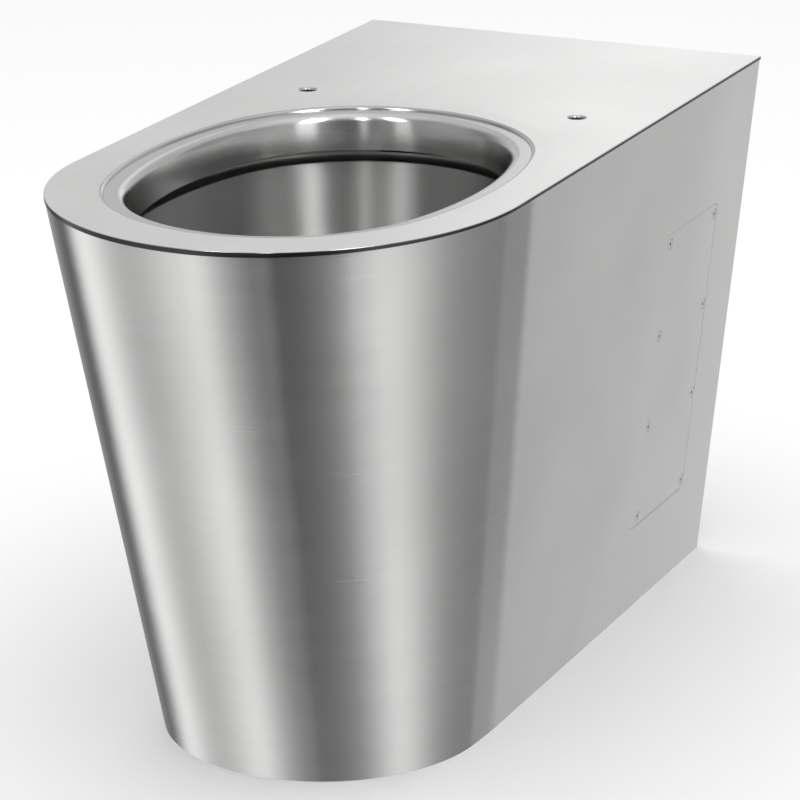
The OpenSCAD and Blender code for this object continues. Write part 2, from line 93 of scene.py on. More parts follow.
def inside(points, loop):
    """True where a point lies inside a closed loop: a ray to +X meets an odd number of edges."""
    a, b = loop, np.roll(loop, -1, 0)
    x, y = points[:, :1], points[:, 1:2]
    rise = np.where(b[:, 1] == a[:, 1], 1, b[:, 1] - a[:, 1])
    edge_x = a[:, 0] + (y - a[:, 1]) * (b[:, 0] - a[:, 0]) / rise
    meets = ((a[:, 1] > y) != (b[:, 1] > y)) & (x < edge_x)
    return meets.sum(1) % 2 == 1


def fill_patch(loops, place, uv, slot=0):
    """Triangles between an outer loop and the holes in it, all flat, by Delaunay. place turns the
    flat points into the pan's own, and uv into the sheet's."""
    edges, start = [], 0
    for loop in loops:
        n = len(loop)
        edges += [(start + k, start + (k + 1) % n) for k in range(n)]
        start += n
    out = delaunay_2d_cdt([tuple(p) for p in np.concatenate(loops)], edges, [], 0, 1e-7, False)
    points = np.array([tuple(v) for v in out[0]])
    tris = np.array(out[2])
    mid = points[tris].mean(1)
    keep = inside(mid, loops[0])
    for hole in loops[1:]:
        keep &= ~inside(mid, hole)
    return place(points), tris[keep], uv(points), slot


def build(name, patches, materials, sharp=30.0):
    """Joins patches into one closed mesh in metres that rides on the pan: doubles merged, faces
    turned outwards, edges over the sharp angle kept crisp, and the triangles of flat sheet shaded
    flat."""
    points, faces, uvs, slots = zip(*patches)
    starts = np.cumsum([0] + [len(part) for part in points])
    mesh = bpy.data.meshes.new(name)
    mesh.from_pydata((np.concatenate(points) * MM).tolist(), [],
                     [face for part, start in zip(faces, starts)
                      for face in (part + start).tolist()])
    corner = np.zeros(len(mesh.loops), np.int32)
    mesh.loops.foreach_get("vertex_index", corner)
    grain = mesh.uv_layers.new(name="grain")
    grain.data.foreach_set("uv", (np.concatenate(uvs) * MM)[corner].ravel())
    slots = np.repeat(slots, [len(part) for part in faces])
    mesh.polygons.foreach_set("material_index", slots.astype(np.int32))
    bm = bmesh.new()
    bm.from_mesh(mesh)
    bmesh.ops.remove_doubles(bm, verts=bm.verts, dist=2e-6)
    bmesh.ops.dissolve_degenerate(bm, edges=bm.edges, dist=1e-7)
    bmesh.ops.recalc_face_normals(bm, faces=bm.faces)
    bm.to_mesh(mesh)
    bm.free()
    mesh.shade_smooth()
    mesh.set_sharp_from_angle(angle=math.radians(sharp))
    corners = np.zeros(len(mesh.polygons), np.int32)
    mesh.polygons.foreach_get("loop_total", corners)
    mesh.polygons.foreach_set("use_smooth", corners > 3)
    for material in materials:
        mesh.materials.append(material)
    piece = bpy.data.objects.new(name, mesh)
    bpy.context.scene.collection.objects.link(piece)
    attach(piece, "root")
    return piece


def brushed_steel(name, tint, roughness, stretch, grain_mm, grain_depth, wave_depth=0.0,
                  cloud=0.05):
    """Stainless steel rubbed one way with a belt. The UV runs along the grain and across it.
    Streaks some 90 times as long as they are wide, and bands 14 mm wide and 200 mm long, vary the
    tint and the roughness, and the streaks' bump scatters light across the grain. A belt's real
    scratches are about 0.1 mm apart, too fine to show, so grain_mm draws them coarser. Clouds
    140 mm and waves 200 mm across are the sheet's own unevenness."""
    m = bpy.data.materials.new(name)
    m.use_nodes = True
    t = m.node_tree
    t.nodes.clear()
    uv = add_node(t, "ShaderNodeUVMap", {"uv_map": "grain"})
    fine = add_node(t, "ShaderNodeMapping", {"Scale": (11 / grain_mm, 1000 / grain_mm, 1)},
                    {"Vector": uv.outputs[0]})
    streaks = add_node(t, "ShaderNodeTexNoise", {"Scale": 1.0, "Detail": 4.0, "Roughness": 0.65},
                       {"Vector": fine.outputs[0]})
    broad = add_node(t, "ShaderNodeMapping", {"Scale": (5, 70, 1)}, {"Vector": uv.outputs[0]})
    bands = add_node(t, "ShaderNodeTexNoise", {"Scale": 1.0, "Detail": 2.0, "Roughness": 0.5},
                     {"Vector": broad.outputs[0]})
    place = add_node(t, "ShaderNodeTexCoord")
    clouds = add_node(t, "ShaderNodeTexNoise", {"Scale": 7.0, "Detail": 2.0, "Roughness": 0.5},
                      {"Vector": place.outputs["Object"]})
    part = add_node(t, "ShaderNodeMath", {"operation": "MULTIPLY", 1: 0.35},
                    {0: bands.outputs["Fac"]})
    mix = add_node(t, "ShaderNodeMath", {"operation": "MULTIPLY_ADD", 1: 0.65},
                   {0: streaks.outputs["Fac"], 2: part.outputs[0]})
    tone = add_node(t, "ShaderNodeMapRange", {"From Min": 0.3, "From Max": 0.7, "To Min": 0.96,
                                              "To Max": 1.03}, {"Value": mix.outputs[0]})
    soft = add_node(t, "ShaderNodeMapRange", {"From Min": 0.3, "From Max": 0.7,
                                              "To Min": 1 - cloud, "To Max": 1 + cloud},
                    {"Value": clouds.outputs["Fac"]})
    both = add_node(t, "ShaderNodeMath", {"operation": "MULTIPLY"},
                    {0: tone.outputs[0], 1: soft.outputs[0]})
    colour = add_node(t, "ShaderNodeVectorMath", {"operation": "SCALE", 0: linear(tint)},
                      {"Scale": both.outputs[0]})
    rough = add_node(t, "ShaderNodeMapRange", {"From Min": 0.25, "From Max": 0.75,
                                               "To Min": roughness * 0.92,
                                               "To Max": roughness * 1.08},
                     {"Value": mix.outputs[0]})
    last = add_node(t, "ShaderNodeBump", {"Strength": 1.0, "Distance": grain_depth * MM},
                    {"Height": streaks.outputs["Fac"]})
    if wave_depth:
        slow = add_node(t, "ShaderNodeTexNoise", {"Scale": 5.0, "Detail": 1.0, "Roughness": 0.4},
                        {"Vector": place.outputs["Object"]})
        last = add_node(t, "ShaderNodeBump", {"Strength": 1.0, "Distance": wave_depth * MM},
                        {"Height": slow.outputs["Fac"], "Normal": last.outputs[0]})
    tangent = add_node(t, "ShaderNodeTangent", {"direction_type": "UV_MAP", "uv_map": "grain"})
    shader = add_node(t, "ShaderNodeBsdfPrincipled",
                      {"Metallic": 1.0, "Anisotropic": stretch, "Anisotropic Rotation": 0.25},
                      {"Base Color": colour.outputs[0], "Roughness": rough.outputs[0],
                       "Normal": last.outputs[0], "Tangent": tangent.outputs[0]})
    add_node(t, "ShaderNodeOutputMaterial", links={"Surface": shader.outputs[0]})
    return m


def body_width(z):
    """Half width of the body at a height: straight from the foot's to the deck's."""
    return FOOT_R + (TOP_R - FOOT_R) * z / DECK_UNDER


def half_nose(z, side, inset):
    """Rows of the nose from a side wall to its tip, at the heights z: a soft crease at the wall, a
    flat strip that the rolls leave, then a quarter of an ellipse. All of it runs straight from the
    foot's to the deck's. Gives the Y of the crease too."""
    share = z / DECK_UNDER
    wide, deep, middle, crease = (np.outer(1 - share, FOOT_NOSE[side])
                                  + np.outer(share, TOP_NOSE[side])).T[..., None]
    a = np.linspace(NOSE_START, math.pi / 2, NOSE_STEPS // 2 + 1)[None]
    curve = np.stack([(wide - inset) * np.cos(a), middle - (deep - inset) * np.sin(a),
                      z + 0 * a], -1)
    r = body_width(z) - inset
    flat = np.stack([r, crease + CREASE_W, z], -1)
    corner = np.stack([r, crease, z], -1)
    slant = curve[:, :1] - corner
    strip = corner + slant * (CREASE_W / np.linalg.norm(slant, axis=-1, keepdims=True))
    return np.concatenate([flat, corner, strip, curve], 1) * [side, 1, 1], crease


def rounded_loop(w, h, r, steps=10):
    """Outline of a rectangle with round corners about the origin, anticlockwise."""
    a = np.linspace(0, math.pi / 2, steps + 1)
    return np.concatenate([
        np.stack([sx * (w / 2 - r) + r * np.cos(a + q * math.pi / 2),
                  sy * (h / 2 - r) + r * np.sin(a + q * math.pi / 2)], 1)
        for sx, sy, q in ((1, 1, 0), (-1, 1, 1), (-1, -1, 2), (1, -1, 3))])


def on_wall(points, side, inset):
    """Y along a side wall and S up its slope, turned into the pan's own points: S leans out by the
    wall's angle, and the inner face lies inset mm further in."""
    y, s = points.T
    return np.stack([side * (FOOT_R + s * math.sin(LEAN) - inset), y, s * math.cos(LEAN)], 1)


def lengths(line):
    """How far each point lies along a line of points: the sum of the steps before it."""
    return np.append(0, np.cumsum(np.linalg.norm(np.diff(line, axis=0), axis=1)))


def body_skin(inset):
    """One face of the sheet, inset mm inside the outer one: the nose, then on each side the fold
    at the wall, a quarter turn and a straight return, and the flat side round its opening. Gives
    its patches, and the borders that the sheet's edges join."""
    z = np.linspace(0, DECK_UNDER, BODY_ROWS + 1)
    slope = z / math.cos(LEAN)
    r, high, up = (v[:, None] for v in (body_width(z) - inset, z, slope))
    right, right_crease = half_nose(high, 1, inset)
    left, left_crease = half_nose(high, -1, inset)
    nose = np.concatenate([right, left[:, -2::-1]], 1)
    run = lengths(nose[len(z) // 2])[None]
    patches = [grid_patch(nose, np.stack([right_crease + CREASE_W - run, up + 0 * run], -1))]
    borders = [nose]
    turn = np.linspace(0, math.pi / 2, FOLD_STEPS + 1)[None]
    back_y = WALL_Y - FOLD_R
    fold_r = FOLD_R - inset
    bend = np.stack([r + inset - FOLD_R + fold_r * np.cos(turn),
                     back_y + fold_r * np.sin(turn) + 0 * r, high + 0 * turn], -1)
    edge = np.stack([r + inset - RETURN_W, 0 * r + WALL_Y - inset, high], -1)
    fold = np.concatenate([bend, edge], 1)
    run = FOLD_R * np.append(turn[0], math.pi / 2)[None]
    run[0, -1] += RETURN_W - FOLD_R
    fold_uv = np.stack([back_y + run + 0 * r, up + 0 * run], -1)
    hole = rounded_loop(PANEL_W + 2 * PANEL_SEAM, PANEL_H + 2 * PANEL_SEAM,
                        PANEL_CORNER + PANEL_SEAM) + PANEL_MIDDLE + [0, inset * math.sin(LEAN)]
    for side, crease in ((1, right_crease), (-1, left_crease)):
        outline = np.concatenate([np.column_stack([crease + CREASE_W, slope]),
                                  np.column_stack([0 * slope + back_y, slope])[::-1]])
        patches.append(grid_patch(fold * [side, 1, 1], fold_uv))
        patches.append(fill_patch([outline, hole], lambda p: on_wall(p, side, inset), np.copy))
        borders += [fold * [side, 1, 1], on_wall(hole, side, inset)]
    return patches, borders


def body_patches():
    """Outer and inner skin, with the sheet's edges between them: straight strips that join each
    border of the one to the same border of the other, at the top, foot, back and openings."""
    outer, outer_borders = body_skin(0.0)
    inner, inner_borders = body_skin(SHEET)
    patches = outer + inner
    for a, b in zip(outer_borders, inner_borders):
        if a.ndim == 2:  # the loop of an opening
            rims = [np.stack([np.append(a, a[:1], 0), np.append(b, b[:1], 0)])]
        else:
            rims = [np.stack([a[row], b[row]]) for row in (0, -1)]
            if a.shape[1] < NOSE_STEPS:  # a fold, whose last column is the free edge at the wall
                rims.append(np.stack([a[:, -1], b[:, -1]]))
        patches += [grid_patch(rim, rim[..., 1:]) for rim in rims]
    # Top and foot of each flat side, from the nose's end to the start of the fold.
    for fold, end in ((1, 0), (3, -1)):
        for row in (0, -1):
            rim = np.stack([[border[0][row, end], border[fold][row, 0]]
                            for border in (outer_borders, inner_borders)])
            patches.append(grid_patch(rim, rim[..., :2]))
    return patches


# Belt-brushed satin: it draws what it mirrors out up and down, and keeps it sharp along the grain.
satin_body = brushed_steel("satin_body_steel", "#cfcfce", roughness=0.26, stretch=1.0,
                           grain_mm=0.9, grain_depth=0.004, wave_depth=0.9, cloud=0.04)
body = build("body_sheet", body_patches(), [satin_body])
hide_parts("body_shell")

# Deck. A 2 mm sheet laid on the body and welded from inside. Its cut edge, under a polished
# corner,
# # has a dark tint: partly the laser's dull skin, partly painted shade for the shadow line under
# the
# # deck, carried down over the body's top. It dips a little towards the opening, turns down into
# it
# # over a small bend, and has two countersunk holes for a seat. Brushed along the pan. A narrow
# edge
# # turns down behind.
DECK_TOP = 445.0
NOSE_TIP = -348.8
NOSE_MIDDLE = {1: -150.0, -1: -170.0}
# The outer edge: radius of its polished corner, height of its foot, how far the foot turns in, and
# # how much deeper its dark face, painted shade, reaches at the nose.
EDGE_ROUND, EDGE_FOOT, EDGE_LIP, EDGE_MORE = 0.5, 442.6, 1.0, 1.6
ROUND_ROWS = 5
# The opening: radius of its ends, the Y of their middles, and how far its sides bow out.
OPENING_R = 136.0
FRONT_Y, REAR_Y = -170.0, -58.0
SIDE_BOW = 8.0
HALF_SPACING = (REAR_Y - FRONT_Y) / 2
BOW_X = (HALF_SPACING ** 2 - SIDE_BOW ** 2) / (2 * SIDE_BOW)
BOW_ANGLE = math.atan2(HALF_SPACING, BOW_X)
LIP_BEND, LIP_WIDE, LIP_END = 3.0, 2.0, 440.0
DISH_R, DISH_DEPTH, DISH_ROWS = 156.0, 0.5, 11
SEAT_X, SEAT_Y, SEAT_R, SEAT_BEVEL = 118.5, 100.0, 6.5, 1.5
# Shares of the bevel's width, and the depths in mm that go with them.
SEAT_SINK = ((1, 0), (0.8, 0.12), (0.15, 1.1), (0, SEAT_BEVEL))
BACK_EDGE_X, BACK_EDGE_Z = 152.4, 423.0


def close(loop):
    """A loop that ends with its first point again."""
    return np.append(loop, loop[:1], 0)


def raised(points, z):
    """Flat points, all at the height z."""
    return np.column_stack([points, np.full(len(points), z)])


def oval_path(side_steps=24, end_steps=72):
    """The opening's path, four arcs that meet without a kink: for each point the centre of its
    arc, how much larger its radius is than the end arcs', and the unit direction outwards, by
    cosine and sine. The arcs of the right side, the rear, the left side and the front follow each
    other, and the path closes."""
    centres, more, out = [], [], []
    middle = (FRONT_Y + REAR_Y) / 2
    for k, (x, y) in enumerate(((-BOW_X, middle), (0, REAR_Y), (BOW_X, middle), (0, FRONT_Y))):
        half, steps = ((BOW_ANGLE, side_steps), (math.pi / 2 - BOW_ANGLE, end_steps))[k % 2]
        a = k * math.pi / 2 + np.linspace(-half, half, steps + 1)[:-1]
        centres.append(np.tile([float(x), y], (steps, 1)))
        more.append(np.full(steps, (BOW_X + SIDE_BOW) * (1 - k % 2)))
        out.append(np.stack([np.cos(a), np.sin(a)], 1))
    return [close(np.concatenate(part)) for part in (centres, more, out)]


def oval(r, z):
    """Closed ring of the oval at height z: each point lies its arc's radius out from its centre.
    The ends have the radius r."""
    return raised(OVAL_CENTRE + (r + OVAL_MORE)[:, None] * OVAL_OUT, z)


def spread(along, across):
    """UV of a grid: along goes with its columns, and across with its rows."""
    return np.stack(np.broadcast_arrays(along[None], across[:, None]), -1)


def oval_sweep(profile, slot=0):
    """A profile of radii and heights carried round the oval. The grain runs round it."""
    points = np.stack([oval(r, z) for r, z in profile])
    return grid_patch(points, spread(lengths(oval(OPENING_R, 0)), lengths(profile)), slot)


def arc(x, z, r, start, end, steps):
    """Points of a bend about [x, z], from one angle to another in degrees."""
    a = np.radians(np.linspace(start, end, steps + 1))
    return np.stack([x + r * np.cos(a), z + r * np.sin(a)], 1)


def deck_outline(inset):
    """Outline of the deck, inset mm inside its edge: back right, down the right side, round the
    nose, a quarter of an ellipse on each side, and up the left side."""
    a = np.linspace(0, math.pi, NOSE_STEPS + 1)
    r = TOP_R - inset
    middle = np.where(np.cos(a) > 0, NOSE_MIDDLE[1], NOSE_MIDDLE[-1])
    nose = np.stack([r * np.cos(a), middle + (NOSE_TIP + inset - middle) * np.sin(a)], 1)
    back = np.array([[r, WALL_Y - inset]])
    return np.concatenate([back, nose, back * [-1, 1]])


def circle(x, y, r, steps=40):
    """Circle about [x, y], by cosine and sine."""
    a = np.linspace(0, 2 * math.pi, steps, endpoint=False)
    return np.stack([x + r * np.cos(a), y + r * np.sin(a)], 1)


def deck_patches():
    """Top and underside filled between outline, opening and seat holes, then the dish, an S-curve
    down by its depth, the lip's bend, the rounded and cut edge, whose dark face of painted shade
    reaches lower at the nose by the square of the way to its tip, and the seat holes'
    countersinks."""
    along_y = lambda p: p[:, ::-1]
    seats = [(side * SEAT_X, SEAT_Y) for side in (1, -1)]
    lip_r = OPENING_R + LIP_BEND
    top = fill_patch([deck_outline(EDGE_ROUND), oval(DISH_R, 0)[:-1, :2]]
                     + [circle(x, y, SEAT_R + SEAT_BEVEL) for x, y in seats],
                     lambda p: raised(p, DECK_TOP), along_y)
    under = fill_patch([deck_outline(EDGE_LIP), oval(lip_r, 0)[:-1, :2]]
                       + [circle(x, y, SEAT_R) for x, y in seats],
                       lambda p: raised(p, DECK_UNDER), along_y)
    t = np.linspace(0, 1, DISH_ROWS)
    dish = np.stack([DISH_R + (lip_r - DISH_R) * t,
                     DECK_TOP - DISH_DEPTH * t * t * (3 - 2 * t)], 1)
    ring = np.stack([oval(r, z) for r, z in dish])
    bend = arc(lip_r, DECK_TOP - DISH_DEPTH - LIP_BEND, LIP_BEND, 90, 180, 10)
    tight = LIP_BEND - LIP_WIDE
    inner = arc(lip_r, DECK_UNDER - tight, tight, 180, 90, 4)
    lip = np.concatenate([bend, [[OPENING_R, LIP_END], [OPENING_R + LIP_WIDE, LIP_END]], inner])
    patches = [top, under, grid_patch(ring, ring[..., 1::-1]), oval_sweep(lip, 1)]
    turn = np.linspace(0, math.pi / 2, ROUND_ROWS)
    rim = [(EDGE_ROUND - EDGE_ROUND * math.sin(b),
            DECK_TOP - EDGE_ROUND + EDGE_ROUND * math.cos(b)) for b in turn]
    rim += [(0.0, EDGE_FOOT), (EDGE_LIP, EDGE_FOOT), (EDGE_LIP, DECK_UNDER)]
    edge = np.stack([raised(close(deck_outline(d)), z) for d, z in rim])
    foot = edge[ROUND_ROWS:ROUND_ROWS + 2]
    forward = np.clip((foot[..., 1] - NOSE_MIDDLE[1]) / (NOSE_TIP - NOSE_MIDDLE[1]), 0, 1)
    # The dark cut face drops lower towards the nose: painted shade for the deeper shadow line
    # there.
    foot[..., 2] -= EDGE_MORE * forward ** 2
    uv = spread(lengths(edge[-1]), edge[:, 0, 2])
    patches += [grid_patch(edge[:ROUND_ROWS], uv[:ROUND_ROWS], 1),
                grid_patch(edge[ROUND_ROWS - 1:], uv[ROUND_ROWS - 1:], 2)]
    sink = [(SEAT_R + SEAT_BEVEL * share, DECK_TOP - depth) for share, depth in SEAT_SINK]
    sink.append((SEAT_R, DECK_UNDER))
    for x, y in seats:
        hole = np.stack([raised(close(circle(x, y, r)), z) for r, z in sink])
        patches.append(grid_patch(hole, hole[..., 1::-1], 1))
    return patches


def box_patch(low, high):
    """Six faces of a box between two corners."""
    (x0, y0, z0), (x1, y1, z1) = low, high
    floor_plan = np.array([[x0, y0], [x1, y0], [x1, y1], [x0, y1]])
    corners = np.concatenate([raised(floor_plan, z) for z in (z0, z1)])
    faces = np.array([(0, 1, 2, 3), (4, 5, 6, 7), (0, 1, 5, 4), (1, 2, 6, 5), (2, 3, 7, 6),
                      (3, 0, 4, 7)])
    return corners, faces, corners[:, :2], 0


OVAL_CENTRE, OVAL_MORE, OVAL_OUT = oval_path()
# A coarser satin than the body's, a bright line where the edge is polished, and on the cut a dark
# # tint: partly the dull skin that the laser leaves, partly painted shade for the shadow line
# under it.
satin_deck = brushed_steel("satin_deck_steel", "#e7e7e6", roughness=0.34, stretch=0.7,
                           grain_mm=0.8, grain_depth=0.01, wave_depth=0.3, cloud=0.04)
ground_edge = brushed_steel("ground_edge_steel", "#bdbdbc", roughness=0.12, stretch=0.3,
                            grain_mm=0.6, grain_depth=0.002)
cut_edge = brushed_steel("laser_edge_with_painted_shadow_line_steel", "#48484a", roughness=0.3, stretch=0.3,
                         grain_mm=0.6, grain_depth=0.004)
turned_edge = box_patch((-BACK_EDGE_X, WALL_Y - SHEET, BACK_EDGE_Z),
                        (BACK_EDGE_X, WALL_Y, DECK_UNDER))
deck = build("deck_sheet", deck_patches() + [turned_edge], [satin_deck, ground_edge, cut_edge])
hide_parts("deck_plate")

# Flushing rim. One pressed ring of 1.5 mm steel, bright polished and welded into the opening: a
# flat ledge just under the deck, and a roll that runs down into a skirt. The skirt leaves an open
# slot above the bowl for the flush water.
LEDGE_Z = 442.3
ROLL_MID, ROLL_R, SKIRT_LEAN = 128.0, 8.0, 12.0
SKIRT_END = 414.3


def rim_profile():
    """Closed section: ledge, roll, a straight skirt that leans in on its way down and touches the
    roll, a round end, and the same back up on the dry side."""
    middle = np.array([ROLL_MID, LEDGE_Z - ROLL_R])
    turn, lean = 180 - SKIRT_LEAN, math.radians(SKIRT_LEAN)
    start = middle + (ROLL_R - SHEET / 2) * np.array([-math.cos(lean), math.sin(lean)])
    length = (start[1] - SKIRT_END - SHEET / 2) / math.cos(lean)
    tip = start - length * np.array([math.sin(lean), math.cos(lean)])
    return np.concatenate([[[OPENING_R, LEDGE_Z]], arc(*middle, ROLL_R, 90, turn, 24),
                           arc(*tip, SHEET / 2, turn, turn + 180, 6),
                           arc(*middle, ROLL_R - SHEET, turn, 90, 24),
                           [[OPENING_R, LEDGE_Z - SHEET], [OPENING_R, LEDGE_Z]]])


# Polished along the ring: nearly a mirror, with streaks that follow the roll.
polished_rim = brushed_steel("polished_rim_steel", "#c8c8c7", roughness=0.2, stretch=0.75,
                             grain_mm=0.8, grain_depth=0.003, wave_depth=0.12, cloud=0.02)
rim = build("flushing_rim_ring", [oval_sweep(rim_profile())], [polished_rim])
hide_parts("flushing_rim")

# Weld in the rim's channel. A fillet bead run by machine where the channel's floor meets its outer
# strip. It shows through the slot as a rounded grey line.
BEAD_R, BEAD_AT, BEAD_Z = 5.0, 139.45, 401.55
bead_profile = np.concatenate([arc(BEAD_AT - BEAD_R, BEAD_Z + BEAD_R, BEAD_R, 270, 360, 8),
                               [[BEAD_AT, BEAD_Z], [BEAD_AT - BEAD_R, BEAD_Z]]])
# Left as welded: grey and rippled.
weld_steel = brushed_steel("weld_bead_steel", "#b4b4b2", roughness=0.4, stretch=0.2, grain_mm=1.2,
                           grain_depth=0.02)
build("rim_channel_weld", [oval_sweep(bead_profile)], [weld_steel])

# Bowl. Deep-drawn in one piece from 1.5 mm steel and polished inside: an oval lip under the rim,
# steep walls, and a floor that runs down into the round throat of the trap.
LIP_Z, THROAT_Z = 401.5, 141.8
LIP_R = 128.0
THROAT_R, THROAT_Y = 40.5, -20.0
DROP_POWER, FLOOR_POWER = 2.2, 0.62
BOWL_ROWS = 72


def bowl_skin(grow):
    """Rings down the bowl, its wall grown out by grow: at a share of the depth, the way out from
    throat to lip is one less depth to a power, all to a second power."""
    depth = np.sin(np.linspace(0, math.pi / 2, BOWL_ROWS + 1))[:, None]
    share = (1 - depth ** DROP_POWER)[..., None] ** FLOOR_POWER
    throat = np.array([0, THROAT_Y]) + THROAT_R * OVAL_OUT
    rings = throat + (oval(LIP_R, 0)[:, :2] - throat) * share + grow * OVAL_OUT
    z = LIP_Z - (LIP_Z - THROAT_Z + grow) * depth
    return np.concatenate([rings, np.broadcast_to(z[..., None], rings.shape[:2] + (1,))], 2)


def bowl_patches():
    """The bowl's two faces, with a ring between them at the lip and at the throat."""
    inner, outer = bowl_skin(0.0), bowl_skin(SHEET)
    uv = spread(lengths(inner[0]), lengths(inner[:, 0]))
    ends = [np.stack([inner[row], outer[row]]) for row in (0, -1)]
    return [grid_patch(inner, uv), grid_patch(outer, uv)] + [
        grid_patch(end, uv[:2]) for end in ends]


# Polished round and round, which draws the lights out into upright stripes.
polished_bowl = brushed_steel("polished_bowl_steel", "#c9c9c8", roughness=0.36, stretch=1.0,
                              grain_mm=0.9, grain_depth=0.004, wave_depth=0.1, cloud=0.04)
bowl = build("drawn_bowl", bowl_patches(), [polished_bowl], sharp=60)
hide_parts("bowl")

# Access panels. A flat cover of the body's own sheet in each side wall, flush with it and brushed
# the same way, with a fine seam round it and eight countersunk holes in two columns of four.
SCREW_REAR, SCREW_FRONT = 53.5, -45.0
SCREW_LOW, SCREW_PITCH, SCREW_ROWS = -120.0, 80.0, 4
HEAD_R, SHANK_R, SCREW_GAP = 4.5, 2.0, 0.2
PANEL_BREAK, SINK_BREAK = 0.15, 0.1
SINK_STEPS = 32
SIDES = ((1, "right"), (-1, "left"))
SCREWS = np.array([(y, SCREW_LOW + k * SCREW_PITCH)
                   for y in (SCREW_REAR, SCREW_FRONT) for k in range(SCREW_ROWS)])


def off_wall(points, side):
    """Points as Y from the panel's middle, S up the slope and H out of the wall, turned into the
    pan's own."""
    y, s, h = (points + [*PANEL_MIDDLE, 0]).reshape(-1, 3).T
    out = np.stack([side * (FOOT_R + s * math.sin(LEAN) + h * math.cos(LEAN)), y,
                    s * math.cos(LEAN) - h * math.sin(LEAN)], 1)
    return out.reshape(points.shape)


def on_panel(h, side):
    """Turns flat points at height h out of the wall into the pan's own."""
    return lambda points: off_wall(raised(points, h), side)


def panel_patches(side):
    """Face and back filled round the eight holes, the edge with its corner broken, and the holes'
    countersinks, which narrow by as much as they go in."""
    outline = lambda d: rounded_loop(PANEL_W - 2 * d, PANEL_H - 2 * d, PANEL_CORNER - d)
    uv = lambda p: p + PANEL_MIDDLE
    hole_r = HEAD_R + SCREW_GAP
    face = fill_patch([outline(PANEL_BREAK)] + [circle(y, s, hole_r + PANEL_BREAK, SINK_STEPS)
                                                for y, s in SCREWS], on_panel(0, side), uv)
    back = fill_patch([outline(0)] + [circle(y, s, hole_r - SHEET, SINK_STEPS)
                                      for y, s in SCREWS], on_panel(-SHEET, side), uv)
    edge = np.stack([raised(close(outline(d)), h) for d, h in
                     ((PANEL_BREAK, 0), (0, -PANEL_BREAK), (0, -SHEET))])
    patches = [face, back, grid_patch(off_wall(edge, side), edge[..., :2])]
    profile = ((hole_r + PANEL_BREAK, 0), (hole_r, -SINK_BREAK), (hole_r - SHEET, -SHEET))
    for y, s in SCREWS:
        sink = np.stack([raised(close(circle(y, s, r, SINK_STEPS)), h) for r, h in profile])
        patches.append(grid_patch(off_wall(sink, side), sink[..., :2], 1))
    return patches


for side, name in SIDES:
    panel = build(f"access_cover_{name}", panel_patches(side), [satin_body, ground_edge])
    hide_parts(f"access_panel_{name}")

# Panel screws. M4 countersunk security screws, turned from bright stainless bar, with a six-lobe
# recess and a pin in it. Their heads sit a hair below the panel's face.
SCREW_L, TIP_BEVEL, HEAD_H, HEAD_SUNK = 14.0, 0.5, 2.5, 0.15
LOBE_R, LOBE_DEPTH, RECESS_H, PIN_R, PIN_SUNK = 1.45, 0.28, 1.3, 0.5, 0.25
# The head's rounded rim: how far in from its edge and how far down, in mm.
HEAD_RIM = ((0.35, 0.0), (0.05, 0.12), (0.1, 0.3))
HEAD_FACE_R = HEAD_R - HEAD_RIM[0][0]
SCREW_STEPS = 36


def screw_patches(y, s, side):
    """One screw at Y and S: head, cone and shank turned from a profile, a recess whose radius
    swells and shrinks six times by a cosine, and the pin in it."""
    a = np.linspace(0, 2 * math.pi, SCREW_STEPS, endpoint=False)
    star_r = LOBE_R + LOBE_DEPTH * np.cos(6 * a)
    star = np.stack([y + star_r * np.cos(a), s + star_r * np.sin(a)], 1)
    disc = lambda r: circle(y, s, r, SCREW_STEPS)
    top = -HEAD_SUNK
    floor, pin_top = top - RECESS_H, top - PIN_SUNK
    profile = [(HEAD_R - inward, top - down) for inward, down in HEAD_RIM]
    profile += [(SHANK_R, top - HEAD_H), (SHANK_R, -SCREW_L + TIP_BEVEL),
                (SHANK_R - TIP_BEVEL, -SCREW_L)]
    skin = np.stack([raised(close(disc(r)), h) for r, h in profile])
    walls = np.stack([raised(close(star), h) for h in (top, floor)])
    pin = np.stack([raised(close(disc(PIN_R)), h) for h in (floor, pin_top)])
    return [fill_patch([disc(HEAD_FACE_R), star], on_panel(top, side), np.copy),
            grid_patch(off_wall(skin, side), skin[..., :2]),
            grid_patch(off_wall(walls, side), walls[..., :2], 1),
            fill_patch([star, disc(PIN_R)], on_panel(floor, side), np.copy, 1),
            grid_patch(off_wall(pin, side), pin[..., :2]),
            fill_patch([disc(PIN_R)], on_panel(pin_top, side), np.copy),
            fill_patch([disc(SHANK_R - TIP_BEVEL)], on_panel(-SCREW_L, side), np.copy)]


